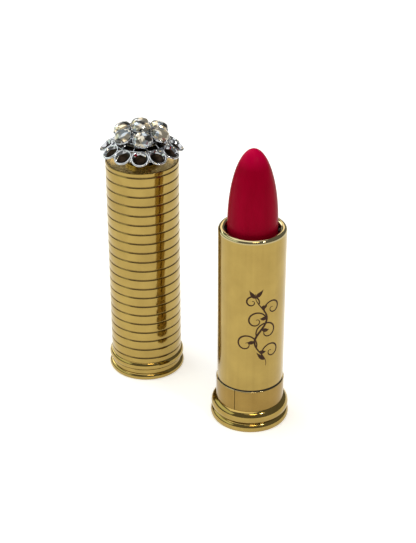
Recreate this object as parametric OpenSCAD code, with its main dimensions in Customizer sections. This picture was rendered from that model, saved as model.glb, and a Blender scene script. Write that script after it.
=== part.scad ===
// Swivel lipstick case with a ribbed pull-off cap and a stone-set rosette.
// Origin: centre of the base's underside. +Z up, along the case's axis.

/* [Pomade] */
// Diameter of the pomade stick
pomade_d = 12.1; // [10:0.1:15]
// Length of the pomade's straight part, from the cup's floor up
pomade_straight = 14.5; // [11:0.5:20]
// Length of the pomade's tapered tip
pomade_tip = 19.35; // [14:0.05:24]
// Fullness of the tip's curve, 2 being an ellipse
tip_power = 2.08; // [1.6:0.01:2.6]

/* [Base] */
// Height of the case from its underside to the crest of the barrel's rim
case_h = 52.85; // [42:0.05:65]
// Height of the beaded foot
foot_h = 5.45; // [4.9:0.05:6.6]
// Height of the friction collar above the foot
collar_h = 5.7; // [4:0.1:8]
// How far the collar stands out past the barrel
collar_step = 0.25; // [0.1:0.01:0.6]
// Width of the collar's spring slit
slit_w = 0.15; // [0.1:0.05:1]
// Direction in which the slit faces, in degrees
slit_angle = 245; // [0:1:360]
// Gap between the collar and the barrel, which the washer fills
swivel_gap = 0.3; // [0.2:0.05:0.6]
// How far the foot's lower bead stands out past the collar
lower_bead_step = 1.36; // [1:0.01:2]
// Radius of the foot's lower bead
lower_bead_r = 1.49; // [1:0.01:1.8]
// How far the foot's upper bead stands out past the collar
upper_bead_step = 1.21; // [0.9:0.01:1.6]
// Radius of the foot's upper bead
upper_bead_r = 2.1; // [2:0.01:2.3]

// Wall of the drawn foot
shell_t = 0.5; // [0.4:0.05:0.6]
// Wall of the spring collar
collar_wall = 0.45; // [0.3:0.05:0.6]
// Wall of the barrel's tube
barrel_wall = 0.46; // [0.3:0.01:0.6]
// Depth to which the barrel's rolled mouth reaches down inside
lip_h = 0.4; // [0.2:0.1:1]
// Thickness of the shade label
label_t = 0.15; // [0.1:0.05:0.3]

/* [Mechanism] */
// Rise of the pomade in one turn of the barrel
lead = 16.8; // [12:0.1:20]
// Travel of the carrier, from wound up to wound down
travel = 21; // [16:0.5:26]
// Diameter of the guide pins
pin_d = 1.4; // [1:0.1:1.8]
// Depth of the carrier's cup
cup_h = 10.5; // [8:0.5:14]
// Thickness of the cup's floor
cup_floor = 0.8; // [0.5:0.1:1.5]
// Wall of the carrier's cup
cup_wall = 0.28; // [0.2:0.01:0.5]
// Wall of the slotted guide sleeve
guide_wall = 0.4; // [0.3:0.05:0.6]
// Wall of the spiral sleeve
spiral_wall = 0.8; // [0.7:0.05:1.2]
// Depth of the spiral groove
spiral_depth = 0.45; // [0.4:0.05:0.6]
// Height of the guide pins above the underside of the cup
pin_rise = 2; // [1.2:0.1:4]

// Height of the guide sleeve's foot inside the core
guide_floor = 1.5; // [1:0.1:3]
// Thickness of the flange at the top of the guide sleeve
flange_t = 0.4; // [0.3:0.1:0.8]
// Distance from the top of the guide sleeve down to the wound-up cup
cup_below_top = 2.65; // [1:0.05:6]

/* [Cap] */
// Height of the cap's tube
cap_h = 59.65; // [58:0.05:75]
// Wall of the cap's ribbed shell
cap_wall = 0.39; // [0.3:0.01:0.8]
// Wall of the cap's liner
liner_wall = 0.3; // [0.2:0.05:0.6]
// Spacing of the cap's ring grooves
groove_pitch = 2.6; // [1.5:0.1:4]
// Depth of a ring groove
groove_depth = 0.2; // [0.1:0.01:0.3]
// Width of a ring groove at the surface
groove_w = 0.5; // [0.2:0.02:0.8]
// Height of the beaded ring round the cap's mouth
ring_h = 4.95; // [4.7:0.05:7]
// Radius of the rounded edge at the cap's top
rim_r = 0.25; // [0.2:0.01:0.35]
// Thickness of the cap's end plate
plate_t = 0.4; // [0.3:0.05:0.8]
// Depth of the end plate's underside below the cap's rim
plate_depth = 1.35; // [1.2:0.05:1.6]
// Radius of the mouth ring's lower bead
ring_low_r = 1.0; // [0.7:0.05:1.3]
// Radius of the mouth ring's upper bead
ring_high_r = 1.39; // [1:0.01:1.6]

/* [Rosette] */
// Number of wire loops round the rosette
loop_n = 12; // [8:1:16]
// Diameter of the loop wire
wire_d = 0.5; // [0.4:0.05:0.8]
// Outside diameter of a wire loop
loop_d = 4.6; // [3:0.1:5]
// Distance from the axis to the middle of a loop
loop_ring_r = 8.5; // [7:0.1:10]
// Direction of the first loop, in degrees
loop_turn = -87; // [-180:1:180]
// Height of the middle of a loop above the cap's rim
loop_rise = 3.65; // [2.5:0.05:5]
// Downward slope of the loops, in degrees
loop_tilt = 32; // [0:1:50]
// Radius of the filigree dome's curve
dome_r = 12; // [9:0.5:20]
// Height of the dome's top above the cap's rim
dome_rise = 6.75; // [5:0.05:9]
// Thickness of the dome's metal
dome_t = 0.5; // [0.3:0.05:0.8]
// Diameter of the stones
stone_d = 4.7; // [3:0.1:4.8]
// Number of stones round the centre one
stone_n = 6; // [5:1:7]
// Direction of the first outer stone, in degrees
stone_turn = -81; // [-180:1:180]
// Height of a stone's table above its girdle
crown_h = 1.65; // [1:0.05:1.8]
// Lean of the outer stones away from the axis, in degrees
stone_lean = 22.8; // [15:0.1:35]
// Height of a stone's girdle above the dome
girdle_rise = 1.4; // [1:0.1:2.5]

// Radius of the rivet that holds the rosette
rivet_r = 0.9; // [0.6:0.1:1.4]
// Thickness of the washer inside the cap
washer_t = 0.35; // [0.2:0.05:0.6]

/* [Standing place of the cap] */
// Cap's place beside the base, left to right
cap_x = -28.3; // [-60:0.1:-22]
// Cap's place beside the base, front to back
cap_y = 22.2; // [-60:0.1:60]

/* [Clearances] */
// Radial running gap between pieces that slide or turn
run_gap = 0.1; // [0.03:0.01:0.1]
// Radial gap between pieces that are stuck together
glue_gap = 0.03; // [0.01:0.01:0.05]
// Radial gap between the collar and the cap's liner
cap_gap = 0.03; // [0.01:0.01:0.05]
// Gap between the pomade and the barrel's mouth
mouth_gap = 0.52; // [0.4:0.01:1]

/* [Hidden] */
$fn = 96;
eps = 0.01;
far = 200;

// Radii, from the pomade outwards
pomade_r = pomade_d / 2;
cup_in = pomade_r + glue_gap;
cup_out = cup_in + cup_wall;
guide_in = cup_out + run_gap;
guide_out = guide_in + guide_wall;
spiral_in = guide_out + run_gap;
spiral_out = spiral_in + spiral_wall;
barrel_in = spiral_out + glue_gap;
barrel_out = barrel_in + barrel_wall;
mouth_r = pomade_r + mouth_gap;
collar_out = barrel_out + collar_step;
collar_in = collar_out - collar_wall;
core_r = collar_in - glue_gap;
underside_r = collar_in - 0.8;
liner_in = collar_out + cap_gap;
liner_out = liner_in + liner_wall;
shell_in = liner_out + glue_gap;
cap_r = shell_in + cap_wall;
groove_reach = spiral_in + spiral_depth;
pin_reach = groove_reach - run_gap;

// Heights, from the underside up
collar_top = foot_h + collar_h;
barrel_bottom = collar_top + swivel_gap;
roll_r = (barrel_out - mouth_r) / 2;
roll_z = case_h - roll_r;
lip_gap = 0.45;
end_gap = 0.15;
guide_top = roll_z - lip_h - lip_gap;
spiral_bottom = barrel_bottom + end_gap;
spiral_top = guide_top - flange_t - end_gap;
cup_top = guide_top - cup_below_top;
cup_bottom = cup_top - cup_h;
pin_z = cup_bottom + pin_rise;
pin_r = pin_d / 2;
slot_w = pin_d + 2 * run_gap;
pomade_bottom = cup_bottom + cup_floor;

// The beads of the foot and of the cap's mouth ring: centre radius, centre height, radius
foot_low = [collar_out + lower_bead_step - lower_bead_r, 0.83, lower_bead_r];
foot_high = [collar_out + upper_bead_step - upper_bead_r, foot_h - 1.9, upper_bead_r];
ring_low = [cap_r + 0.69 - ring_low_r, 0.77, ring_low_r];
ring_high = [cap_r + 0.6 - ring_high_r, ring_h - 1.06, ring_high_r];

// The cap and what its rosette stands on
plate_z = cap_h - plate_depth;
rivet_head_r = 1.7;
rivet_head_h = 0.55;
washer_r = 3;
dome_top = cap_h + dome_rise;
dome_centre = dome_top - dome_r;
stem_r = 2;
stem_flange_t = 0.5;
pillar_foot_r = 4.2;
pillar_waist_r = 2.4;
pillar_head_r = 3.2;
dome_edge_r = loop_ring_r - (loop_d - wire_d) / 2 * cos(loop_tilt) + 0.1;
stem_top = dome_centre + sqrt(pow(dome_r - dome_t, 2) - stem_r * stem_r) - glue_gap;
groove_end = 1.2;
groove_n = floor((cap_h - groove_end - ring_h - groove_end) / groove_pitch) + 1;
cap_bore_top = plate_z - washer_t - rivet_head_h - 0.4;

// Stones and their settings, measured from the girdle
stone_r = stone_d / 2;
cup_rim_r = stone_r + 0.2;
cup_foot_r = 1.5;
setting_wall = 0.3;
prong_n = 6;
prong_w = 0.6;
prong_root = 0.1;
table_r = stone_r * 0.52;
pavilion_h = girdle_rise - setting_wall - 0.1;

// A tube or disc as a true solid of revolution
module ring(r_in, r_out, z_low, z_high) {
    rotate_extrude() translate([r_in, z_low]) square([r_out - r_in, z_high - z_low]);
}

module bead(b, inset = 0) {
    translate([b[0], b[1]]) circle(r = b[2] - inset);
}

module at_cap() {
    translate([cap_x, cap_y, 0]) children();
}

// ---- base ----

// Drawn brass foot with two beads, rolled in underneath to hold the core
module foot_shell() {
    color("darkgoldenrod") rotate_extrude() difference() {
        foot_outline();
        foot_cavity();
    }
}

module foot_outline() {
    intersection() {
        union() {
            bead(foot_low);
            bead(foot_high);
            square([foot_low[0], foot_high[1]]);
            square([foot_high[0], foot_h]);
        }
        square([far, foot_h]);
    }
}

// Hollow of the foot, with its openings for the collar above and the label below
module foot_cavity() {
    intersection() {
        union() {
            bead(foot_low, shell_t);
            bead(foot_high, shell_t);
            square([foot_low[0], foot_high[1]]);
            square([foot_high[0], foot_high[1] + foot_high[2] - shell_t]);
        }
        translate([0, shell_t]) square([far, foot_h]);
    }
    translate([0, -eps]) square([underside_r, shell_t + 2 * eps]);
    translate([0, shell_t]) square([collar_in, foot_h]);
}

// Turned core that holds the foot, the collar and the guide sleeve together
module foot_core() {
    flange_top = foot_h - 0.55;
    color("dimgray") difference() {
        union() {
            translate([0, 0, shell_t]) cylinder(r = foot_low[0] - 0.07, h = flange_top - shell_t);
            translate([0, 0, shell_t]) cylinder(r = core_r, h = collar_top - 0.2 - shell_t);
        }
        translate([0, 0, guide_floor]) cylinder(r = guide_out + glue_gap, h = far);
    }
}

module shade_label() {
    color("whitesmoke") translate([0, 0, shell_t - glue_gap - label_t])
        cylinder(r = underside_r - 0.25, h = label_t);
}

// Split spring collar that the cap grips
module friction_collar() {
    color("goldenrod") difference() {
        ring(collar_in, collar_out, foot_h, collar_top);
        rotate(slit_angle) translate([collar_in - 1, -slit_w / 2, foot_h - 1])
            cube([3, slit_w, collar_h + 2]);
    }
}

module swivel_washer() {
    play = 0.02;
    color("black") ring(spiral_in, barrel_out - 0.05, collar_top + play, barrel_bottom - play);
}

// Inner tube with two upright slots that keep the carrier from turning
module guide_sleeve() {
    color("silver") difference() {
        union() {
            ring(guide_in, guide_out, guide_floor, guide_top);
            ring(guide_in, guide_out + 0.4, guide_top - flange_t, guide_top);
        }
        guide_slot();
    }
}

module guide_slot() {
    for (z = [pin_z - travel, pin_z])
        translate([-guide_out - 1, 0, z]) rotate([0, 90, 0]) cylinder(d = slot_w, h = 2 * guide_out + 2);
    translate([-guide_out - 1, -slot_w / 2, pin_z - travel]) cube([2 * guide_out + 2, slot_w, travel]);
}

// ---- barrel ----

// Plain tube with its mouth rolled inwards
module barrel_shell() {
    roll_x = barrel_out - roll_r;
    color("goldenrod") rotate_extrude() {
        translate([barrel_in, barrel_bottom]) square([barrel_wall, roll_z - barrel_bottom]);
        translate([mouth_r, roll_z - lip_h]) square([barrel_wall, lip_h]);
        difference() {
            translate([roll_x, roll_z]) circle(r = roll_r);
            translate([roll_x, roll_z]) circle(r = roll_r - barrel_wall);
            translate([roll_x - roll_r - eps, roll_z - roll_r - eps])
                square([2 * roll_r + 2 * eps, roll_r + eps]);
        }
    }
}

// Sleeve with two spiral grooves that drive the carrier's pins
module spiral_sleeve() {
    groove_bottom = pin_z - travel - pin_r - 0.5;
    color("peru") difference() {
        ring(spiral_in, spiral_out, spiral_bottom, spiral_top);
        for (side = [0, 180]) rotate(side) spiral_groove(groove_bottom);
    }
}

// Right-hand groove that meets the pins at their height in the rest pose
module spiral_groove(z_low) {
    height = spiral_top + 0.3 - z_low;
    turn = 360 * height / lead;
    slope = atan(lead / (2 * PI * groove_reach));
    half_angle = (slot_w / 2 + 0.1) / sin(slope) / groove_reach * 180 / PI;
    steps = 6;
    angles = [for (i = [0 : steps]) half_angle * (2 * i / steps - 1)];
    outer = [for (a = angles) groove_reach * [cos(a), sin(a)]];
    inner = [for (i = [steps : -1 : 0]) (spiral_in - 0.6) * [cos(angles[i]), sin(angles[i])]];
    translate([0, 0, z_low]) rotate(360 * (z_low - pin_z) / lead)
        linear_extrude(height = height, twist = -turn, slices = ceil(turn / 14), segments = 14, $fn = 14)
            polygon(concat(outer, inner));
}

// ---- carrier ----

module carrier_cup() {
    color("silver") difference() {
        translate([0, 0, cup_bottom]) cylinder(r = cup_out, h = cup_h);
        translate([0, 0, pomade_bottom]) cylinder(r = cup_in, h = cup_h);
        translate([-cup_out - 1, 0, pin_z]) rotate([0, 90, 0]) cylinder(r = pin_r + 0.01, h = 2 * cup_out + 2);
    }
}

module guide_pins() {
    color("dimgray") for (side = [0, 180])
        rotate(side) translate([pomade_r + 0.05, 0, pin_z]) rotate([0, 90, 0])
            cylinder(r = pin_r, h = pin_reach - pomade_r - 0.05);
}

// Moulded stick: a straight foot and a full, rounded, tapering tip
module pomade() {
    tip_base = pomade_bottom + pomade_straight;
    steps = 28;
    curve = [for (i = [0 : steps - 1]) let (t = sin(90 * i / steps))
        [pomade_r * sqrt(1 - pow(t, tip_power)), tip_base + pomade_tip * t]];
    color("crimson") rotate_extrude() polygon(concat(
        [[0, pomade_bottom], [pomade_r, pomade_bottom]],
        curve,
        [[0, tip_base + pomade_tip]]
    ));
}

// ---- cap ----

// Thin tube rolled with ring grooves, its top edge rounded
module cap_shell() {
    color("darkgoldenrod") at_cap() rotate_extrude() difference() {
        union() {
            translate([shell_in, ring_h]) square([cap_wall, cap_h - rim_r - ring_h]);
            translate([cap_r - rim_r, cap_h - rim_r]) circle(r = rim_r);
        }
        for (i = [0 : groove_n - 1]) translate([cap_r, cap_h - groove_end - i * groove_pitch])
            polygon([[-groove_depth, 0], [eps, -groove_w / 2], [eps, groove_w / 2]]);
    }
}

// Beaded ring that finishes the cap's mouth
module mouth_ring() {
    color("goldenrod") at_cap() rotate_extrude() intersection() {
        union() {
            bead(ring_low);
            bead(ring_high);
            square([cap_r, ring_h]);
        }
        translate([shell_in, 0]) square([far, ring_h]);
    }
}

// Inner tube that slides on the collar
module cap_liner() {
    color("wheat") at_cap() ring(liner_in, liner_out, 0.4, cap_bore_top);
}

// Dished plate that closes the cap's top
module cap_end_plate() {
    edge_r = shell_in - glue_gap;
    flat_r = edge_r - 1;
    dish = 0.35;
    hole_r = rivet_r + glue_gap;
    color("goldenrod") at_cap() rotate_extrude() polygon([
        [hole_r, plate_z], [flat_r, plate_z], [edge_r, plate_z + dish],
        [edge_r, plate_z + dish + plate_t], [flat_r, plate_z + plate_t], [hole_r, plate_z + plate_t]
    ]);
}

module rosette_rivet() {
    head_top = plate_z - washer_t - 2 * glue_gap;
    color("silver") at_cap() {
        translate([0, 0, head_top - rivet_head_h]) cylinder(r = rivet_head_r, h = rivet_head_h);
        translate([0, 0, head_top - eps]) cylinder(r = rivet_r, h = stem_top - head_top);
        translate([0, 0, stem_top - stem_flange_t]) cylinder(r = stem_r, h = stem_flange_t);
    }
}

module rivet_washer() {
    top = plate_z - glue_gap;
    color("gray") at_cap() ring(rivet_r + glue_gap, washer_r, top - washer_t, top);
}

// Waisted pillar that carries the rosette above the plate
module rosette_standoff() {
    bore_r = rivet_r + glue_gap;
    low = plate_z + plate_t + glue_gap;
    top = stem_top - stem_flange_t - glue_gap;
    color("silver") at_cap() rotate_extrude() polygon([
        [bore_r, low], [pillar_foot_r, low], [pillar_foot_r, low + 0.6], [pillar_waist_r, low + 1.5],
        [pillar_waist_r, top - 1], [pillar_head_r, top], [bore_r, top]
    ]);
}

// ---- rosette ----

// Domed plate ringed with wire loops, each loop meeting its neighbours
module filigree() {
    loop_z = cap_h + loop_rise;
    color("silver") at_cap() rotate(loop_turn) {
        rotate_extrude() intersection() {
            translate([0, dome_centre]) difference() {
                circle(r = dome_r);
                circle(r = dome_r - dome_t);
            }
            translate([0, dome_centre]) square([dome_edge_r, dome_r + 1]);
        }
        for (i = [0 : loop_n - 1]) rotate(360 * i / loop_n)
            translate([loop_ring_r, 0, loop_z]) rotate([0, loop_tilt, 0])
                rotate_extrude() translate([(loop_d - wire_d) / 2, 0]) circle(d = wire_d);
    }
}

// Puts a stone or setting on the dome, its girdle at the children's origin
module on_dome(lean, turn) {
    at_cap() translate([0, 0, dome_centre]) rotate([0, 0, turn]) rotate([0, lean, 0])
        translate([0, 0, dome_r + girdle_rise + glue_gap]) children();
}

// Tapered cup with a bezel rim and prongs over the stone's edge
module setting() {
    color("lightgray") difference() {
        union() {
            rotate_extrude() polygon([
                [0, -girdle_rise], [cup_foot_r, -girdle_rise], [cup_rim_r, -0.35], [cup_rim_r, 0.1], [0, 0.1]
            ]);
            for (i = [0 : prong_n - 1]) rotate(360 * (i + 0.5) / prong_n)
                translate([stone_r - prong_root, -prong_w / 2, -0.2])
                    cube([cup_rim_r - 0.04 - stone_r + prong_root, prong_w, 0.65]);
        }
        rotate_extrude() polygon([
            [0, setting_wall - girdle_rise], [cup_foot_r - setting_wall, setting_wall - girdle_rise],
            [stone_r + glue_gap, -0.3], [stone_r + glue_gap, 1], [0, 1]
        ]);
    }
}

// Round brilliant: flat table, eight-sided crown and a pointed pavilion
module stone() {
    color("aliceblue") hull() {
        translate([0, 0, crown_h - 0.05]) cylinder(r = table_r, h = 0.05, $fn = 8);
        rotate(11.25) translate([0, 0, crown_h * 0.45]) cylinder(r = stone_r * 0.86, h = 0.05, $fn = 16);
        translate([0, 0, -0.08]) cylinder(r = stone_r, h = 0.16, $fn = 16);
        translate([0, 0, -pavilion_h]) cylinder(r = 0.5, h = 0.05, $fn = 8);
    }
}

module centre_setting() { on_dome(0, 0) setting(); }
module centre_stone() { on_dome(0, 0) stone(); }

foot_shell();
foot_core();
shade_label();
friction_collar();
swivel_washer();
guide_sleeve();
barrel_shell();
spiral_sleeve();
carrier_cup();
guide_pins();
pomade();
cap_shell();
mouth_ring();
cap_liner();
cap_end_plate();
rosette_rivet();
rivet_washer();
rosette_standoff();
filigree();
centre_setting();
centre_stone();
for (i = [1 : stone_n]) {
    turn = 360 * (i - 1) / stone_n + stone_turn;
    on_dome(stone_lean, turn) setting();
    on_dome(stone_lean, turn) stone();
}
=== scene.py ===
import math
import random

import bmesh
import bpy
from mathutils import Matrix, Vector


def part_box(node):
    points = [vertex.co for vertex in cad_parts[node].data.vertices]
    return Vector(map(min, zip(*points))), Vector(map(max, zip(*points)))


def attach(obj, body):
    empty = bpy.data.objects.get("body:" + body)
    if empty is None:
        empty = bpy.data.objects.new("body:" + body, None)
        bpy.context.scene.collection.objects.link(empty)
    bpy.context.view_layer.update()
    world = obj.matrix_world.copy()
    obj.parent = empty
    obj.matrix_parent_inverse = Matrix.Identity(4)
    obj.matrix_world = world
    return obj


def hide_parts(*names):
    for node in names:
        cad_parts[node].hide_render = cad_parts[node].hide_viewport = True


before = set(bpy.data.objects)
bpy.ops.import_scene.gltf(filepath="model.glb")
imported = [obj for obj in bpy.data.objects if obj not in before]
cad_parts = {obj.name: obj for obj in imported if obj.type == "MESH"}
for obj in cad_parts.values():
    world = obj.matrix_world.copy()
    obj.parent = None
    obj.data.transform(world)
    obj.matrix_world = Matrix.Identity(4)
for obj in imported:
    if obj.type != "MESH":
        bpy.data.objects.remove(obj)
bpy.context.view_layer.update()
mm = 0.001
print("frame loaded")


class Sock:
    # one output socket of a shader graph, so that sums on values read as sums
    def __init__(self, graph, socket):
        self.graph = graph
        self.socket = socket

    def math(self, operation, other=None, swap=False):
        values = [self] if other is None else [self, other]
        if swap:
            values.reverse()
        return self.graph.add("ShaderNodeMath", {"operation": operation}, values)

    def __add__(self, other):
        return self.math("ADD", other)

    def __radd__(self, other):
        return self.math("ADD", other, True)

    def __sub__(self, other):
        return self.math("SUBTRACT", other)

    def __rsub__(self, other):
        return self.math("SUBTRACT", other, True)

    def __mul__(self, other):
        return self.math("MULTIPLY", other)

    def __rmul__(self, other):
        return self.math("MULTIPLY", other, True)

    def ramp(self, low, high):
        # 0 at low, 1 at high, clamped outside them
        inputs = {"Value": self, "From Min": low, "From Max": high}
        return self.graph.add("ShaderNodeMapRange", {"clamp": True}, inputs)

    def sibling(self, index):
        # another output of the same node
        return Sock(self.graph, self.socket.node.outputs[index])


class Graph:
    def __init__(self, name):
        self.material = bpy.data.materials.new(name)
        self.material.use_nodes = True
        self.tree = self.material.node_tree
        self.tree.nodes.clear()
        self.shader = self.tree.nodes.new("ShaderNodeBsdfPrincipled")
        output = self.tree.nodes.new("ShaderNodeOutputMaterial")
        self.tree.links.new(self.shader.outputs[0], output.inputs[0])

    def put(self, node, key, value):
        socket = node.inputs[key]
        if isinstance(value, Sock):
            self.tree.links.new(value.socket, socket)
        else:
            socket.default_value = value

    def add(self, kind, settings=None, inputs=None, output=0):
        node = self.tree.nodes.new(kind)
        for key, value in (settings or {}).items():
            setattr(node, key, value)
        pairs = inputs.items() if isinstance(inputs, dict) else enumerate(inputs or [])
        for key, value in pairs:
            self.put(node, key, value)
        return Sock(self, node.outputs[output])

    def coords(self, centre=(0, 0, 0), scale=(1, 1, 1)):
        # object coordinates about a point, stretched by scale
        place = self.add("ShaderNodeTexCoord", output="Object")
        shift = [-c * s for c, s in zip(centre, scale)]
        inputs = {"Vector": place, "Location": shift, "Scale": scale}
        return self.add("ShaderNodeMapping", {}, inputs)

    def axes(self, vector):
        # the x, y and z of a vector
        x = self.add("ShaderNodeSeparateXYZ", {}, [vector])
        return x, x.sibling(1), x.sibling(2)

    def noise(self, vector, scale, detail=3.0, rough=0.55):
        values = {"Vector": vector, "Scale": scale, "Detail": detail, "Roughness": rough}
        return self.add("ShaderNodeTexNoise", {}, values, "Fac")

    def cells(self, vector, scale, feature="F1"):
        values = {"Vector": vector, "Scale": scale}
        return self.add("ShaderNodeTexVoronoi", {"feature": feature}, values, "Distance")

    def mix(self, amount, low, high):
        # 0, 6 and 7 are the factor and the two colours, and 2 is the mixed colour
        return self.add("ShaderNodeMix", {"data_type": "RGBA"}, {0: amount, 6: low, 7: high}, 2)

    def bump(self, height, strength, distance):
        values = {"Height": height, "Strength": strength, "Distance": distance}
        return self.add("ShaderNodeBump", {}, values, "Normal")

    def finish(self, **inputs):
        names = {
            "color": "Base Color", "rough": "Roughness", "metal": "Metallic", "normal": "Normal",
            "coat": "Coat Weight", "coatRough": "Coat Roughness", "ior": "IOR",
            "specular": "Specular IOR Level", "glow": "Emission Color", "glowStrength": "Emission Strength",
        }
        for key, value in inputs.items():
            self.put(self.shader, names[key], value)
        return self.material


def paint(r, g, b):
    return (r, g, b, 1.0)


capLowCorner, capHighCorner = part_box("cap_shell")
capCentre = (capLowCorner + capHighCorner) / 2
capAxis = Vector((capCentre.x, capCentre.y, 0))

gold = {
    "bright": paint(0.410, 0.292, 0.088),
    "deep": paint(0.335, 0.232, 0.068),
    # painted shade for the cap's grooves
    "groove": paint(0.165, 0.102, 0.036),
    "worn": paint(0.500, 0.440, 0.260),
}


def tubeGold(name, shade, rimLow, rimHigh):
    # drawn tube: soft lengthwise streaks, a few hair scratches, a top edge worn smooth and pale
    g = Graph(name)
    place = g.coords()
    rim = g.axes(place)[2].ramp(rimLow, rimHigh)
    streaks = g.noise(g.coords(scale=(1, 1, 0.02)), 900, 2.0)
    clouds = g.noise(place, 160, 3.0)
    hairs = g.cells(g.coords(scale=(1, 1, 0.05)), 420, "DISTANCE_TO_EDGE").ramp(0.03, 0.0)
    wear = g.noise(place, 700, 4.0).ramp(0.55, 0.75)
    # shade below one gives a darker copy of the same gold, painted shade
    bright = paint(*[c * s for c, s in zip(gold["bright"], shade)])
    deep = paint(*[c * s for c, s in zip(gold["deep"], shade)])
    tone = g.mix((clouds * 0.7 + streaks * 0.3).ramp(0.35, 0.7), bright, deep)
    tone = g.mix(rim * 0.8, tone, gold["worn"])
    rough = (0.10 + streaks * 0.05 + clouds * 0.04 + hairs * wear * 0.10) * (1 - rim * 0.55)
    normal = g.bump(streaks * 0.6 + hairs * wear * 0.4, 0.06, 0.00002)
    return g.finish(color=tone, rough=rough, metal=1.0, normal=normal)


def ribbedGold():
    # rolled bands with fine turning lines, and painted shade darkening the grooves
    g = Graph("ribbedGold")
    place = g.coords(centre=capAxis)
    x, y = g.axes(place)[:2]
    radius = (x * x + y * y).math("SQRT")
    outer = (capHighCorner.x - capLowCorner.x) / 2
    # groove mask: darkens the grooves as painted shade and roughens them
    depth = radius.ramp(outer - 0.004 * mm, outer - 0.05 * mm)
    turning = g.noise(g.coords(scale=(0.03, 0.03, 1)), 5200, 2.0)
    clouds = g.noise(place, 190, 3.0)
    base = g.mix(clouds.ramp(0.3, 0.75), gold["bright"], gold["deep"])
    tone = g.mix(depth * (0.50 + clouds * 0.3), base, gold["groove"])
    rough = 0.065 + turning * 0.05 + clouds * 0.03 + depth * 0.08
    normal = g.bump(turning, 0.03, 0.00002)
    return g.finish(color=tone, rough=rough, metal=1.0, normal=normal)


def polishedGold():
    # beads and rims: bright, with haze and small nicks
    g = Graph("polishedGold")
    clouds = g.noise(g.coords(), 260, 4.0)
    worn = g.noise(g.coords(), 330, 2.0).ramp(0.55, 0.7)
    nicks = g.cells(g.coords(), 1500).ramp(0.12, 0.02) * worn
    tone = g.mix(clouds.ramp(0.35, 0.8), gold["bright"], gold["deep"])
    rough = 0.07 + clouds * 0.06 + nicks * 0.2
    normal = g.bump(clouds * 0.5 - nicks, 0.10, 0.00003)
    return g.finish(color=tone, rough=rough, metal=1.0, normal=normal)


def satinGold():
    # end plate: the same gold left satin from the press
    g = Graph("satinGold")
    clouds = g.noise(g.coords(), 320, 4.0)
    fine = g.noise(g.coords(), 2600, 2.0)
    tone = g.mix(clouds.ramp(0.3, 0.75), paint(0.78, 0.60, 0.27), paint(0.62, 0.46, 0.19))
    normal = g.bump(fine * 0.6 + clouds * 0.4, 0.12, 0.00003)
    return g.finish(color=tone, rough=0.22 + clouds * 0.10, metal=0.85, normal=normal)


def brightSilver():
    # rhodium plate: mirror bright, darker where it was never polished
    g = Graph("brightSilver")
    clouds = g.noise(g.coords(), 900, 3.0)
    pits = g.cells(g.coords(), 3800).ramp(0.16, 0.04)
    tone = g.mix(clouds.ramp(0.45, 0.8), paint(0.56, 0.58, 0.62), paint(0.24, 0.23, 0.23))
    rough = 0.05 + clouds * 0.08 + pits * 0.10
    normal = g.bump(clouds - pits * 0.4, 0.12, 0.00003)
    return g.finish(color=tone, rough=rough, metal=1.0, normal=normal)


def satinSilver():
    # unpolished underside, hazy and a little warm
    g = Graph("satinSilver")
    clouds = g.noise(g.coords(), 600, 4.0)
    tone = g.mix(clouds.ramp(0.3, 0.75), paint(0.78, 0.74, 0.62), paint(0.55, 0.50, 0.40))
    normal = g.bump(clouds, 0.2, 0.00004)
    return g.finish(color=tone, rough=0.35 + clouds * 0.2, metal=0.7, normal=normal)


def paintedShadeSilver():
    # painted shade inside the openwork: near-black metal standing for the shadow in the hollows
    g = Graph("paintedShadeSilver")
    clouds = g.noise(g.coords(), 700, 4.0)
    tone = g.mix(clouds.ramp(0.3, 0.75), paint(0.010, 0.006, 0.004), paint(0.040, 0.028, 0.020))
    normal = g.bump(clouds, 0.3, 0.00005)
    return g.finish(color=tone, rough=0.28 + clouds * 0.25, metal=1.0, normal=normal)


def paintedReflectionGlass():
    # foil-backed stone: painted reflections, with patches of tan, blue-grey, cream and near-black in the
    # base colour standing for what the cut reflects
    g = Graph("paintedReflectionGlass")
    place = g.coords()
    reflectionPatches = g.add("ShaderNodeTexVoronoi", {}, {"Vector": place, "Scale": 720.0}, "Color")
    reflectionChannels = g.add("ShaderNodeSeparateColor", {}, [reflectionPatches])
    light, dark = reflectionChannels.sibling(1), reflectionChannels.sibling(2)
    haze = g.noise(place, 800, 3.0)
    # painted reflections in tan and blue-grey, then painted highlights in cream and painted dark
    # reflections in near-black
    tone = g.mix(reflectionChannels.ramp(0.35, 0.65), paint(0.52, 0.47, 0.38), paint(0.42, 0.48, 0.55))
    tone = g.mix(light.ramp(0.72, 0.78), tone, paint(0.95, 0.80, 0.56))
    tone = g.mix(dark.ramp(0.69, 0.75), tone, paint(0.035, 0.032, 0.030))
    return g.finish(
        color=tone, rough=0.03 + haze * 0.05, metal=0.65, coat=1.0, coatRough=0.02, ior=1.58)


def wax():
    # moulded stick: satin skin, faint flow marks, and a painted highlight that brightens the tip
    g = Graph("pomadeWax")
    flow = g.noise(g.coords(scale=(1, 1, 0.25)), 260, 4.0)
    skin = g.noise(g.coords(), 2600, 2.0)
    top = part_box("pomade")[1].z
    height = g.axes(g.coords())[2]
    tone = g.mix(flow.ramp(0.3, 0.75), paint(0.34, 0.000, 0.021), paint(0.25, 0.000, 0.013))
    # painted light: the stick's colour lightens towards the tip, which faces the light
    tip = height.ramp(top - 4.2 * mm, top - 0.2 * mm)
    tone = g.mix(tip * 0.7, tone, paint(0.72, 0.000, 0.070))
    rough = 0.24 + flow * 0.10 + skin * 0.04
    normal = g.bump(flow * 0.7 + skin * 0.2, 0.14, 0.00005)
    return g.finish(color=tone, rough=rough, normal=normal, specular=0.14, ior=1.18)


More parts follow.
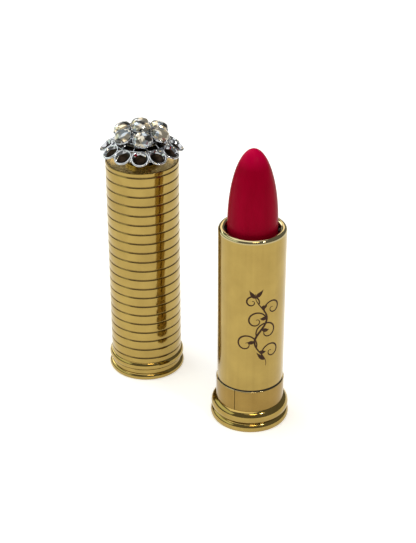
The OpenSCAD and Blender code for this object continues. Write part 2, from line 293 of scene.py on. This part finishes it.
def engraving():
    # the cut line, filled with dark brown lacquer
    g = Graph("engravedLacquer")
    clouds = g.noise(g.coords(), 1500, 3.0)
    tone = g.mix(clouds.ramp(0.3, 0.8), paint(0.030, 0.012, 0.005), paint(0.075, 0.032, 0.012))
    normal = g.bump(clouds, 0.3, 0.00003)
    return g.finish(color=tone, rough=0.45 + clouds * 0.2, metal=0.2, specular=0.2, normal=normal)


def moulded(name, low, high, rough, grain=1400):
    # plastic or fibre with a fine grain
    g = Graph(name)
    clouds = g.noise(g.coords(), grain * 0.15, 3.0)
    fine = g.noise(g.coords(), grain, 3.0)
    tone = g.mix(clouds.ramp(0.3, 0.75), paint(*low), paint(*high))
    return g.finish(color=tone, rough=rough + fine * 0.15, normal=g.bump(fine, 0.2, 0.00004))


def brushedMetal(name, low, high, rough):
    # plain metal turned on a lathe
    g = Graph(name)
    lines = g.noise(g.coords(scale=(0.05, 0.05, 1)), 4200, 2.0)
    clouds = g.noise(g.coords(), 240, 3.0)
    tone = g.mix(clouds.ramp(0.3, 0.75), paint(*low), paint(*high))
    return g.finish(color=tone, rough=rough + lines * 0.15, metal=1.0, normal=g.bump(lines, 0.2, 0.00003))


def paper():
    # blank label stock with visible fibres
    g = Graph("labelPaper")
    fibres = g.noise(g.coords(scale=(1, 0.35, 1)), 2600, 5.0, 0.7)
    tone = g.mix(fibres.ramp(0.3, 0.75), paint(0.86, 0.83, 0.76), paint(0.93, 0.91, 0.86))
    return g.finish(color=tone, rough=0.75 + fibres * 0.2, normal=g.bump(fibres, 0.35, 0.00004))


skins = {
    "barrelGold": tubeGold("barrelGold", (1.0, 1.0, 1.0), 51.8 * mm, 52.1 * mm),
    # the collar is the barrel's gold darkened and browned as painted shade
    "collarGoldPaintedShade": tubeGold("collarGoldPaintedShade", (0.80, 0.73, 0.70), 11.0 * mm, 11.1 * mm),
    "ribbedGold": ribbedGold(),
    "polishedGold": polishedGold(),
    "satinGold": satinGold(),
    "brightSilver": brightSilver(),
    "satinSilver": satinSilver(),
    "paintedShadeSilver": paintedShadeSilver(),
    "paintedReflectionGlass": paintedReflectionGlass(),
    "wax": wax(),
    "engraving": engraving(),
    "paper": paper(),
    "core": moulded("corePlastic", (0.020, 0.018, 0.016), (0.045, 0.040, 0.036), 0.45),
    "liner": moulded("linerPlastic", (0.78, 0.72, 0.57), (0.86, 0.81, 0.68), 0.28),
    # near-black fibre, darkened further as painted shade for the dark gap between collar and barrel
    "washer": moulded("washerFibreGapShade", (0.012, 0.009, 0.007), (0.030, 0.022, 0.016), 0.6, 2400),
    "steel": brushedMetal("drawnSteel", (0.50, 0.50, 0.49), (0.66, 0.65, 0.63), 0.25),
    "aluminium": brushedMetal("satinAluminium", (0.70, 0.70, 0.70), (0.82, 0.82, 0.83), 0.22),
}
print("materials made")


def arc(centreR, centreZ, radius, start, end, steps):
    # points of a circular arc in the outline plane, angles in degrees
    turn = [math.radians(start + (end - start) * i / steps) for i in range(steps + 1)]
    return [(centreR + radius * math.cos(a), centreZ + radius * math.sin(a)) for a in turn]


def lathe(outline, closed=True, steps=192, start=0.0, sweep=360.0):
    # spins an outline of (radius, height) in mm about the Z axis
    bm = bmesh.new()
    turn = Matrix.Rotation(math.radians(start), 3, "Z")
    points = [bm.verts.new(turn @ Vector((r * mm, 0, z * mm))) for r, z in outline]
    pairs = list(zip(points, points[1:]))
    if closed:
        pairs.append((points[-1], points[0]))
    whole = abs(sweep - 360) < 0.001
    if whole:
        geometry = points + [bm.edges.new(pair) for pair in pairs]
    else:
        face = bm.faces.new(points)
        geometry = points + list(face.edges) + [face]
    bmesh.ops.spin(
        bm, geom=geometry, cent=(0, 0, 0), axis=(0, 0, 1), angle=math.radians(sweep),
        steps=steps, use_merge=whole, use_duplicate=False)
    bmesh.ops.remove_doubles(bm, verts=bm.verts, dist=1e-7)
    bmesh.ops.recalc_face_normals(bm, faces=bm.faces)
    return bm


def join(target, extra):
    # adds one bmesh to another
    spare = bpy.data.meshes.new("spare")
    extra.to_mesh(spare)
    extra.free()
    target.from_mesh(spare)
    bpy.data.meshes.remove(spare)


def piece(name, bm, skin, body, nodes=(), sharp=35, move=None):
    # one finished object that rides a body and stands for the named nodes
    if move is not None:
        bmesh.ops.transform(bm, matrix=move, verts=bm.verts)
    mesh = bpy.data.meshes.new(name)
    bm.to_mesh(mesh)
    bm.free()
    mesh.polygons.foreach_set("use_smooth", [True] * len(mesh.polygons))
    mesh.set_sharp_from_angle(angle=math.radians(sharp))
    mesh.materials.append(skins[skin])
    made = bpy.data.objects.new(name, mesh)
    bpy.context.scene.collection.objects.link(made)
    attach(made, body)
    if nodes:
        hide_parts(*nodes)


def span(node):
    # radius, lowest and highest point of a round node, in mm
    low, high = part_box(node)
    return (high.x - low.x) / 2 / mm, low.z / mm, high.z / mm


def dress(node, skin):
    # gives a node of the frame a better material
    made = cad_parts[node]
    made.data.materials.clear()
    made.data.materials.append(skins[skin])


toCap = Matrix.Translation(capAxis)

# a bead is the radius and height of its middle, and its own radius
foot = {
    "lowBead": (8.37, 0.83, 1.49),
    "highBead": (7.61, 3.55, 2.1),
    "wall": 0.5,
    "lip": 0.3,
    "recessR": 7.25,
    "recessDepth": 0.5,
    "steps": 96,
}
collar = {"wall": 0.45, "edge": 0.18, "slitDirection": 245, "slitWidth": 0.15, "steps": 190}
footTop = span("foot_shell")[2]
collarR, collarLow, collarTop = span("friction_collar")


def crossing(a, b):
    # outer crossing point of two circles in the outline plane
    d = Vector((b[0] - a[0], b[1] - a[1]))
    along = (a[2] ** 2 - b[2] ** 2 + d.length ** 2) / (2 * d.length)
    off = math.sqrt(a[2] ** 2 - along ** 2)
    side = Vector((d.y, -d.x)).normalized()
    return Vector(a[:2]) + d.normalized() * along + side * off


def footOutline():
    low, high = foot["lowBead"], foot["highBead"]
    cusp = crossing(low, high)
    lowStart = math.degrees(math.asin(-low[1] / low[2]))
    lowEnd = math.degrees(math.atan2(cusp.y - low[1], cusp.x - low[0]))
    highStart = math.degrees(math.atan2(cusp.y - high[1], cusp.x - high[0]))
    highEnd = math.degrees(math.asin((footTop - high[1]) / high[2]))
    inner = collarR - collar["wall"]
    recess, depth = foot["recessR"], foot["recessDepth"]
    outline = arc(*low, lowStart, lowEnd, 22) + arc(*high, highStart, highEnd, 26)[1:]
    outline += [(inner, footTop), (inner, footTop - foot["lip"])]
    outline += arc(high[0], high[1], high[2] - foot["wall"], 50, -60, 10)
    outline += arc(low[0], low[1], low[2] - foot["wall"], 60, -10, 6)
    outline += [(low[0] + 0.6, depth), (recess, depth), (recess - 0.05, depth / 2), (recess, 0.0)]
    return outline


# turned by half a step, so that no corner stands out of the frame's box
footSpin = lathe(footOutline(), steps=foot["steps"], start=180 / foot["steps"])
piece("footShell", footSpin, "polishedGold", "base", ["foot_shell"], sharp=45)


def collarOutline():
    edge = collar["edge"]
    inner = collarR - collar["wall"]
    outline = [(inner, collarLow), (collarR, collarLow)]
    return outline + arc(collarR - edge, collarTop - edge, edge, 0, 90, 6) + [(inner, collarTop)]


slitTurn = math.degrees(collar["slitWidth"] / collarR)
collarStart = collar["slitDirection"] + slitTurn / 2
collarSpin = lathe(collarOutline(), steps=collar["steps"], start=collarStart, sweep=360 - slitTurn)
piece("frictionCollar", collarSpin, "collarGoldPaintedShade", "base", ["friction_collar"])
dress("foot_core", "core")
dress("shade_label", "paper")
dress("swivel_washer", "washer")
dress("guide_sleeve", "steel")

barrel = {"wall": 0.46, "mouth": 6.57, "lip": 0.4, "edge": 0.12}
barrelR, barrelLow, barrelTop = span("barrel_shell")


def barrelOutline():
    roll = (barrelR - barrel["mouth"]) / 2
    wall = barrel["wall"]
    rollZ = barrelTop - roll
    rollR = barrelR - roll
    lipZ = rollZ - barrel["lip"]
    edge = barrel["edge"]
    outline = [(barrelR - wall, barrelLow)] + arc(barrelR - edge, barrelLow + edge, edge, -90, 0, 6)
    outline += arc(rollR, rollZ, roll, 0, 180, 40)
    outline += [(barrel["mouth"], lipZ), (barrel["mouth"] + wall, lipZ)]
    outline += arc(rollR, rollZ, roll - wall, 180, 0, 12)
    return outline


piece("barrelShell", lathe(barrelOutline()), "barrelGold", "barrel", ["barrel_shell"])
dress("spiral_sleeve", "core")

pomade = {"straight": 14.5, "power": 2.08, "steps": 72}
pomadeR, pomadeLow, pomadeTop = span("pomade")


def pomadeOutline():
    # straight sides, then a superellipse that closes on the axis
    base = pomadeLow + pomade["straight"]
    tip = pomadeTop - base
    outline = [(0, pomadeLow), (pomadeR, pomadeLow)]
    for i in range(pomade["steps"] + 1):
        t = math.sin(math.radians(90 * i / pomade["steps"]))
        outline.append((pomadeR * max(0, 1 - t ** pomade["power"]) ** 0.5, base + tip * t))
    outline[-1] = (0, pomadeTop)
    return outline


piece("pomadeStick", lathe(pomadeOutline(), closed=False), "wax", "carrier", ["pomade"])
dress("carrier_cup", "aluminium")
dress("guide_pins", "steel")
print("base, barrel and pomade made")

cap = {
    "firstGroove": 1.2,
    "pitch": 2.6,
    "grooveDepth": 0.2,
    "grooveWidth": 0.5,
    "wall": 0.39,
    "rim": 0.25,
    "steps": 224,
}
capR, capLow, capTop = span("cap_shell")


def capOutline():
    rim = cap["rim"]
    outline = [(capR - cap["wall"], capLow), (capR, capLow)]
    count = int((capTop - cap["firstGroove"] * 2 - capLow) / cap["pitch"]) + 1
    half = cap["grooveWidth"] / 2
    # how far in and how far from the groove's edge its rounded shoulder runs
    shoulder = [(0.0, 0.10), (0.010, 0.02), (0.035, -0.05), (cap["grooveDepth"] * 0.85, 0.06 - half)]
    below = capLow
    for i in reversed(range(count)):
        z = capTop - cap["firstGroove"] - i * cap["pitch"]
        middle = (below + z - half) / 2
        outline.append((capR, middle))
        outline += [(capR - sink, z - half - out) for sink, out in shoulder]
        outline += [(capR - sink, z + half + out) for sink, out in reversed(shoulder)]
        below = z + half
    outline += arc(capR - rim, capTop - rim, rim, 0, 180, 16)
    outline.append((capR - cap["wall"], capTop - 2 * rim))
    return outline


capSpin = lathe(capOutline(), steps=cap["steps"])
piece("capShell", capSpin, "ribbedGold", "cap", ["cap_shell"], sharp=50, move=toCap)

ring = {"lowBead": (8.94, 0.77, 1.0), "highBead": (8.46, 3.89, 1.39)}
ringTop = span("mouth_ring")[2]


def ringOutline():
    low, high = ring["lowBead"], ring["highBead"]
    inner = capR - cap["wall"]
    lowStart = math.degrees(math.asin(-low[1] / low[2]))
    lowEnd = math.degrees(math.acos((capR - low[0]) / low[2]))
    highStart = -math.degrees(math.acos((capR - high[0]) / high[2]))
    highEnd = math.degrees(math.asin((ringTop - high[1]) / high[2]))
    outline = [(inner, 0)] + arc(*low, lowStart, lowEnd, 24)
    outline += arc(*high, highStart, highEnd, 26) + [(inner, ringTop)]
    return outline


ringSpin = lathe(ringOutline())
piece("mouthRing", ringSpin, "polishedGold", "cap", ["mouth_ring"], sharp=45, move=toCap)

plate = {"dish": 0.35, "slope": 1.0, "hole": 0.93}
plateR, plateLow, plateTop = span("cap_end_plate")


def plateOutline():
    dish, hole = plate["dish"], plate["hole"]
    flat = plateR - plate["slope"]
    floorZ = plateTop - dish
    top = [(plateR, plateTop), (plateR - 0.3, plateTop - 0.03), (flat + 0.3, floorZ + 0.05)]
    top += [(flat - 0.2, floorZ), (hole, floorZ)]
    return [(hole, plateLow), (flat, plateLow), (plateR, plateLow + dish)] + top


plateSpin = lathe(plateOutline())
piece("capEndPlate", plateSpin, "satinGold", "cap", ["cap_end_plate"], sharp=60, move=toCap)
dress("cap_liner", "liner")
dress("rosette_rivet", "brightSilver")
dress("rivet_washer", "steel")
dress("rosette_standoff", "polishedGold")
print("cap tube made")

# lengths in mm and angles in degrees; the rings of wire are a radius and the wire's own radius
rosette = {
    "loops": 12,
    "loopR": 8.5,
    "loopRise": 3.65,
    "loopTilt": 32,
    "firstLoop": -87,
    "wireR": 2.05,
    "wire": 0.25,
    "well": 1.52,
    "domeR": 12.0,
    "solderGap": 0.03,
    "rings": ((6.5, 0.28), (4.4, 0.22), (2.5, 0.24)),
    "hubR": 2.4,
    "ribR": 11.74,
    "rib": 0.22,
    # radius, height over the loops, half sizes
    "outerLink": (9.05, -0.34, (0.50, 0.30, 0.26)),
    "innerLink": (7.45, 0.62, (0.55, 0.26, 0.26)),
    "grain": (7.0, 0.92, (0.26, 0.26, 0.26)),
    "grainTurn": 3.2,
    # the dark inset sets the depth of the painted shade sheet under the dome
    "insets": {"dark": (0.62, 0.75), "pale": 0.80},
    "girdle": 1.43,
    "lean": 22.8,
    "stones": 6,
    "firstStone": -81,
}
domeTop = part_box("centre_setting")[0].z / mm - rosette["solderGap"]
domeCentre = domeTop - rosette["domeR"]
loopZ = capTop + rosette["loopRise"]


def circleOutline(radius, z, wire, points=12):
    return arc(radius, z, wire, 0, 360 - 360 / points, points - 1)


def domeZ(radius, inset=0.0):
    # height of the dome, or of a shell that far inside it, at a radius
    return domeCentre + math.sqrt((rosette["domeR"] - inset) ** 2 - radius ** 2)


def spot(turn, radius, z, tilt=0.0):
    # a place on the rosette: turned round the axis, moved out and up, then tilted outwards
    around = Matrix.Rotation(math.radians(turn), 4, "Z")
    out = Matrix.Translation(Vector((radius, 0, z)) * mm)
    return around @ out @ Matrix.Rotation(math.radians(tilt), 4, "Y")


def blob(bm, place, sizes, rings=8, ribs=12):
    # an ellipsoid with the given half sizes in mm
    grow = place @ Matrix.Diagonal((*[s * mm for s in sizes], 1.0))
    bmesh.ops.create_uvsphere(bm, u_segments=ribs, v_segments=rings, radius=1.0, matrix=grow)


def petal():
    # one loop of wire with a thin wavy lip sloping in to its well
    edge, wire, well = rosette["wireR"], rosette["wire"], rosette["well"]
    outline = [(well - 0.06, -0.42), (edge - 0.2, -0.12)] + arc(edge, 0, wire, -145, 145, 14)
    bm = lathe(outline, steps=48)
    for vert in bm.verts:
        radius = vert.co.xy.length / mm
        if radius < edge - 0.1:
            wave = math.sin(5 * math.atan2(vert.co.y, vert.co.x) + 1.1)
            vert.co.xy *= 1 - 0.07 * wave * (edge - radius)
    return bm


def petalSpot(i, half=0.0):
    # turn and place of a loop, or of the gap after it with half 0.5
    turn = (i + half) * 360 / rosette["loops"] + rosette["firstLoop"]
    return turn, spot(turn, rosette["loopR"], loopZ, rosette["loopTilt"])


def domeRib(turn):
    # one arched wire from the dome's crown down to the loops
    outline = circleOutline(rosette["ribR"], 0, rosette["rib"], 8)
    bm = lathe(outline, steps=10, start=56, sweep=23)
    upright = Matrix.Translation((0, 0, domeCentre * mm)) @ Matrix.Rotation(math.radians(90), 4, "X")
    around = Matrix.Rotation(math.radians(turn), 4, "Z")
    bmesh.ops.transform(bm, matrix=around @ upright, verts=bm.verts)
    return bm


def solder(bm, turn, lump):
    # a lump of solder beside the loops, tilted as they are
    radius, rise, sizes = lump
    blob(bm, spot(turn, radius, loopZ + rise, rosette["loopTilt"]), sizes)


def filigree():
    # loops joined edge to edge, then ribs, rings and a hub that make the open dome
    bm = bmesh.new()
    for i in range(rosette["loops"]):
        turn, place = petalSpot(i)
        loop = petal()
        bmesh.ops.transform(loop, matrix=place, verts=loop.verts)
        join(bm, loop)
        between = petalSpot(i, 0.5)[0]
        solder(bm, between, rosette["outerLink"])
        solder(bm, between, rosette["innerLink"])
        for side in (-1, 1):
            solder(bm, turn + side * rosette["grainTurn"], rosette["grain"])
        join(bm, domeRib(between))
    for radius, wire in rosette["rings"]:
        join(bm, lathe(circleOutline(radius, domeZ(radius, wire), wire), steps=96))
    hub, thick = rosette["hubR"], 0.5
    outline = [(0, domeTop - thick), (hub, domeZ(hub, thick))]
    outline += [(hub, domeZ(hub)), (hub / 2, domeZ(hub / 2)), (0, domeTop)]
    join(bm, lathe(outline, closed=False, steps=48))
    return bm


openwork = filigree()
piece("filigreeRosette", openwork, "brightSilver", "cap", ["filigree"], sharp=50, move=toCap)


def petalCups(outline):
    # a small cup behind every loop
    bm = bmesh.new()
    for i in range(rosette["loops"]):
        cup = lathe(outline, closed=False, steps=32)
        bmesh.ops.transform(cup, matrix=petalSpot(i)[1], verts=cup.verts)
        join(bm, cup)
    return bm


def backing():
    # near-black sheet under the openwork and a cup behind each loop, painted shade seen through the holes
    high, low = rosette["insets"]["dark"]
    outline = [(r, domeZ(r, high)) for r in (2.3, 6.3)] + [(r, domeZ(r, low)) for r in (6.3, 2.3)]
    bm = lathe(outline, steps=72)
    well = rosette["well"]
    cup = [(0, -0.86), (1.0, -0.82), (well, -0.40), (well, -0.46), (1.0, -0.90), (0, -0.94)]
    join(bm, petalCups(cup))
    return bm


def underside():
    # the unpolished back of the same loops and dome
    bm = petalCups([(0, -0.96), (1.1, -0.90), (1.7, -0.55), (1.7, -0.60), (1.1, -0.96), (0, -1.02)])
    back = [(r, domeZ(r, rosette["insets"]["pale"])) for r in (2.1, 4.4, 6.4)]
    back += [(r, z - 0.08) for r, z in reversed(back)]
    join(bm, lathe(back, steps=72))
    return bm


# painted shade: the near-black backing fills the loops' holes with shadow
piece("openworkPaintedShade", backing(), "paintedShadeSilver", "cap", sharp=40, move=toCap)
piece("petalBacks", underside(), "satinSilver", "cap", sharp=40, move=toCap)

stone = {"radius": 2.35, "crown": 1.64, "table": 0.44, "pavilion": 1.0, "edge": 0.07}
setting = {
    "rim": 2.55,
    "foot": 1.5,
    "wall": 0.3,
    "gap": 0.03,
    "prongs": 6,
    # half sizes
    "claw": (0.13, 0.17, 0.34),
    "rib": (0.10, 0.15, 0.80),
}


def cutStone():
    # brilliant cut: table, eight-fold crown, sixteen-sided girdle and a pointed pavilion
    bm = bmesh.new()
    # share of the radius, height, corners, offset in corners
    levels = [
        (stone["table"], stone["crown"], 8, 0.0),
        (0.76, stone["crown"] * 0.80, 8, 0.5),
        (0.90, stone["crown"] * 0.52, 16, 0.0),
        (0.975, stone["crown"] * 0.26, 16, 0.5),
        (1.0, stone["edge"], 16, 0.0),
        (1.0, -stone["edge"], 16, 0.0),
        (0.50, -stone["pavilion"] * 0.62, 8, 0.5),
    ]
    for share, z, count, offset in levels:
        for i in range(count):
            a = 2 * math.pi * (i + offset) / count
            r = stone["radius"] * share
            bm.verts.new(Vector((r * math.cos(a), r * math.sin(a), z)) * mm)
    bm.verts.new((0, 0, -stone["pavilion"] * mm))
    bmesh.ops.convex_hull(bm, input=bm.verts)
    bmesh.ops.dissolve_limit(bm, angle_limit=math.radians(1), verts=bm.verts, edges=bm.edges)
    return bm


def settingCup():
    # flared cup with a rolled rim, claws over the stone and a rib down the wall under each
    rise, rim, wall, foot = rosette["girdle"], setting["rim"], setting["wall"], setting["foot"]
    seat = stone["radius"] + setting["gap"]
    outline = [(0, -rise), (foot, -rise), (foot + 0.12, -rise + 0.2)]
    outline += [(rim - 0.10, -0.42), (rim, -0.34)] + arc(rim - 0.08, 0.02, 0.08, 0, 120, 5)
    outline += [(seat, 0.08), (seat, -0.28), (foot - wall, wall - rise), (0, wall - rise)]
    bm = lathe(outline, closed=False, steps=64)
    lean = math.degrees(math.atan2(rim - foot, rise))
    for i in range(setting["prongs"]):
        turn = 360 * (i + 0.5) / setting["prongs"]
        blob(bm, spot(turn, seat + 0.02, 0.20, -18), setting["claw"])
        blob(bm, spot(turn, (rim + foot) / 2 + 0.02, -0.75, lean), setting["rib"])
    return bm


def onDome(lean, turn):
    # girdle height above the dome, leaning out from its crown
    place = Matrix.Translation(capAxis + Vector((0, 0, domeCentre * mm)))
    place = place @ Matrix.Rotation(math.radians(turn), 4, "Z")
    place = place @ Matrix.Rotation(math.radians(lean), 4, "Y")
    return place @ Matrix.Translation((0, 0, (rosette["domeR"] + rosette["girdle"]) * mm))


def mount(label, cupNode, stoneNode, lean, turn, spin):
    # a stone in its setting, spun about its own axis
    place = onDome(lean, turn) @ Matrix.Rotation(math.radians(spin), 4, "Z")
    cup, cut = settingCup(), cutStone()
    piece(label + "Setting", cup, "brightSilver", "cap", [cupNode], sharp=40, move=place)
    piece(label + "Stone", cut, "paintedReflectionGlass", "cap", [stoneNode], sharp=1, move=place)


mount("centre", "centre_setting", "centre_stone", 0, 0, 11)
random.seed(7)
for i in range(1, rosette["stones"] + 1):
    turn = 360 * (i - 1) / rosette["stones"] + rosette["firstStone"]
    spin = random.uniform(0, 45)
    mount(f"ring{i}", f"ring_setting_{i}", f"ring_stone_{i}", rosette["lean"], turn, spin)
print("rosette made")

# lengths in mm, heights from the middle; side 1 is the right of the stem and -1 the left
vine = {
    "facing": -72.0,
    "middle": 28.7,
    "reach": 10.2,
    "sway": 1.5,
    "swayHeight": 6.4,
    "thin": 0.13,
    "thick": 0.56,
    "depth": 0.012,
    "backing": 0.03,
    "turns": 1.3,
    # height, side, size
    "tendrils": (
        (-7.2, 1, 2.3), (-4.6, -1, 2.5), (-1.4, 1, 2.6), (1.9, -1, 2.4), (5.0, 1, 2.1), (7.4, -1, 1.6),
    ),
    # height, side, length, rise
    "leaves": (
        (-8.4, -1, 2.2, 0.5), (-5.9, 1, 1.8, -0.6), (-2.9, -1, 1.9, -0.7), (0.3, 1, 1.9, -0.7),
        (3.5, -1, 1.8, -0.6), (6.5, 1, 1.6, -0.4), (9.3, 1, 1.9, 0.5), (9.0, -1, 1.5, 0.9),
    ),
}


def stemPoint(v):
    return Vector((vine["sway"] * math.sin(math.pi * v / vine["swayHeight"]), v))


def scroll(v, side, size, steps=64):
    # a tendril that leaves the stem and curls in on itself
    root = stemPoint(v)
    middle = root + Vector((side * size, size * 0.35))
    start = math.atan2(root.y - middle.y, root.x - middle.x)
    reach = (root - middle).length
    points = []
    for i in range(steps):
        t = i / (steps - 1)
        a = start - side * vine["turns"] * 2 * math.pi * t
        r = reach * (1 - t) ** 0.85 + 0.16
        points.append(middle + Vector((math.cos(a), math.sin(a))) * r)
    return points


def leaf(v, side, length, rise, steps=24):
    # a leaf's midrib, which leaves the stem and bends upwards
    root = stemPoint(v)
    points = []
    for i in range(steps):
        t = i / (steps - 1)
        points.append(root + Vector((side * length * t, length * (rise * t + 0.5 * t * t))))
    return points


def stroke(bm, points, width):
    # a shallow cut of changing width, laid round the barrel
    rows = []
    for i, here in enumerate(points):
        ahead = points[min(i + 1, len(points) - 1)] - points[max(i - 1, 0)]
        side = Vector((-ahead.y, ahead.x)).normalized() * width(i / (len(points) - 1)) / 2
        row = []
        for shift, lift in ((-1, 1.0), (0, 0.35), (1, 1.0)):
            flat = here + side * shift
            a = math.radians(vine["facing"]) + flat.x / barrelR
            r = barrelR + vine["depth"] * lift
            wrapped = Vector((r * math.cos(a), r * math.sin(a), vine["middle"] + flat.y))
            row.append(bm.verts.new(wrapped * mm))
        rows.append(row)
    for low, high in zip(rows, rows[1:]):
        for k in range(2):
            bm.faces.new((low[k], low[k + 1], high[k + 1], high[k]))


def engravedVine():
    # a stem that sways up the barrel, with tendrils and leaves, turned outwards and thickened
    bm = bmesh.new()
    thin, thick = vine["thin"], vine["thick"]

    def swell(t):
        return thin + (thick - thin) * math.sin(math.pi * t) ** 1.5

    def taper(t):
        return thin + (thick * 0.75 - thin) * math.sin(math.pi * min(1, 0.25 + t * 0.75)) ** 1.4

    def leafShape(t):
        return thin * 0.6 + 0.95 * math.sin(math.pi * t ** 0.8) ** 1.2

    reach, steps = vine["reach"], 95
    stroke(bm, [stemPoint(-reach + 2 * reach * i / steps) for i in range(steps + 1)], swell)
    for v, side, size in vine["tendrils"]:
        stroke(bm, scroll(v, side, size), taper)
    for v, side, length, rise in vine["leaves"]:
        stroke(bm, leaf(v, side, length, rise), leafShape)
    bmesh.ops.recalc_face_normals(bm, faces=bm.faces)
    for face in bm.faces:
        middle = face.calc_center_median()
        if face.normal.dot(Vector((middle.x, middle.y, 0))) < 0:
            face.normal_flip()
    bmesh.ops.solidify(bm, geom=bm.faces, thickness=vine["backing"] * mm)
    return bm


piece("engravedVine", engravedVine(), "engraving", "barrel", sharp=60)
print("vine made")

stage = {"size": 3.0, "glow": 0.52, "world": (0.60, 0.60, 0.57, 1.0), "worldStrength": 0.34}
bm = bmesh.new()
bmesh.ops.create_grid(bm, x_segments=1, y_segments=1, size=stage["size"] / 2)
floorMesh = bpy.data.meshes.new("floor")
bm.to_mesh(floorMesh)
bm.free()
floor = bpy.data.objects.new("floor", floorMesh)
bpy.context.scene.collection.objects.link(floor)
g = Graph("floorPaper")
grain = g.noise(g.coords(), 900, 3.0)
floorTone = g.mix(grain.ramp(0.3, 0.7), paint(0.89, 0.89, 0.88), paint(0.90, 0.90, 0.89))
floorMesh.materials.append(g.finish(
    color=floorTone, rough=0.7, specular=0.2, glow=paint(1.0, 0.99, 0.97), glowStrength=stage["glow"]))

# name, place, aim, width, height, watts, colour
lamps = [
    ("windowLeft", (-0.62, 0.02, 0.34), (0, 0.02, 0.03), 1.15, 0.34, 1.35, (0.86, 1.0, 0.82)),
    ("windowBack", (-0.42, 0.52, 0.36), (0, 0, 0.03), 0.26, 0.26, 0.60, (0.94, 0.99, 1.0)),
    ("overhead", (-0.20, 0.05, 0.95), (0, 0, 0), 0.95, 0.95, 4.2, (1.0, 0.99, 0.97)),
    ("frontPanel", (0.05, -0.55, 0.72), (0, 0, 0.03), 0.42, 0.16, 0.12, (1.0, 0.94, 0.80)),
    ("glintRight", (0.27, -0.25, 0.44), (0, 0, 0.03), 0.050, 0.050, 0.34, (1.0, 0.97, 0.90)),
    ("warmFront", (0.11, -0.40, 0.50), (0, 0, 0.03), 0.17, 0.05, 0.38, (1.0, 0.78, 0.42)),
    ("warmBack", (-0.05, 0.70, 0.44), (0, 0, 0.03), 0.55, 0.14, 0.40, (1.0, 0.84, 0.60)),
]
for name, place, aim, width, height, watts, tint in lamps:
    light = bpy.data.lights.new(name, "AREA")
    light.shape = "RECTANGLE"
    light.size = width
    light.size_y = height
    light.energy = watts
    light.color = tint
    lamp = bpy.data.objects.new(name, light)
    lamp.location = place
    lamp.rotation_mode = "QUATERNION"
    lamp.rotation_quaternion = (Vector(aim) - Vector(place)).to_track_quat("-Z", "Y")
    bpy.context.scene.collection.objects.link(lamp)

world = bpy.data.worlds.new("room")
bpy.context.scene.world = world
world.use_nodes = True
back = world.node_tree.nodes["Background"]
back.inputs["Color"].default_value = stage["world"]
back.inputs["Strength"].default_value = stage["worldStrength"]

camera = {"place": (0.004556, -0.281616, 0.195155), "yaw": -3.078, "pitch": 28.788, "focal": 88.26}
eye = bpy.data.cameras.new("camera")
eye.sensor_width = 36.0
eye.lens = camera["focal"]
eye.clip_start = 0.01
eye.clip_end = 10.0
viewer = bpy.data.objects.new("camera", eye)
viewer.location = camera["place"]
yaw, pitch = math.radians(camera["yaw"]), math.radians(camera["pitch"])
forward = Vector((math.sin(yaw) * math.cos(pitch), math.cos(yaw) * math.cos(pitch), -math.sin(pitch)))
viewer.rotation_mode = "QUATERNION"
viewer.rotation_quaternion = forward.to_track_quat("-Z", "Y")
bpy.context.scene.collection.objects.link(viewer)
bpy.context.scene.camera = viewer
bpy.context.scene.view_settings.view_transform = "Standard"
print("stage made")
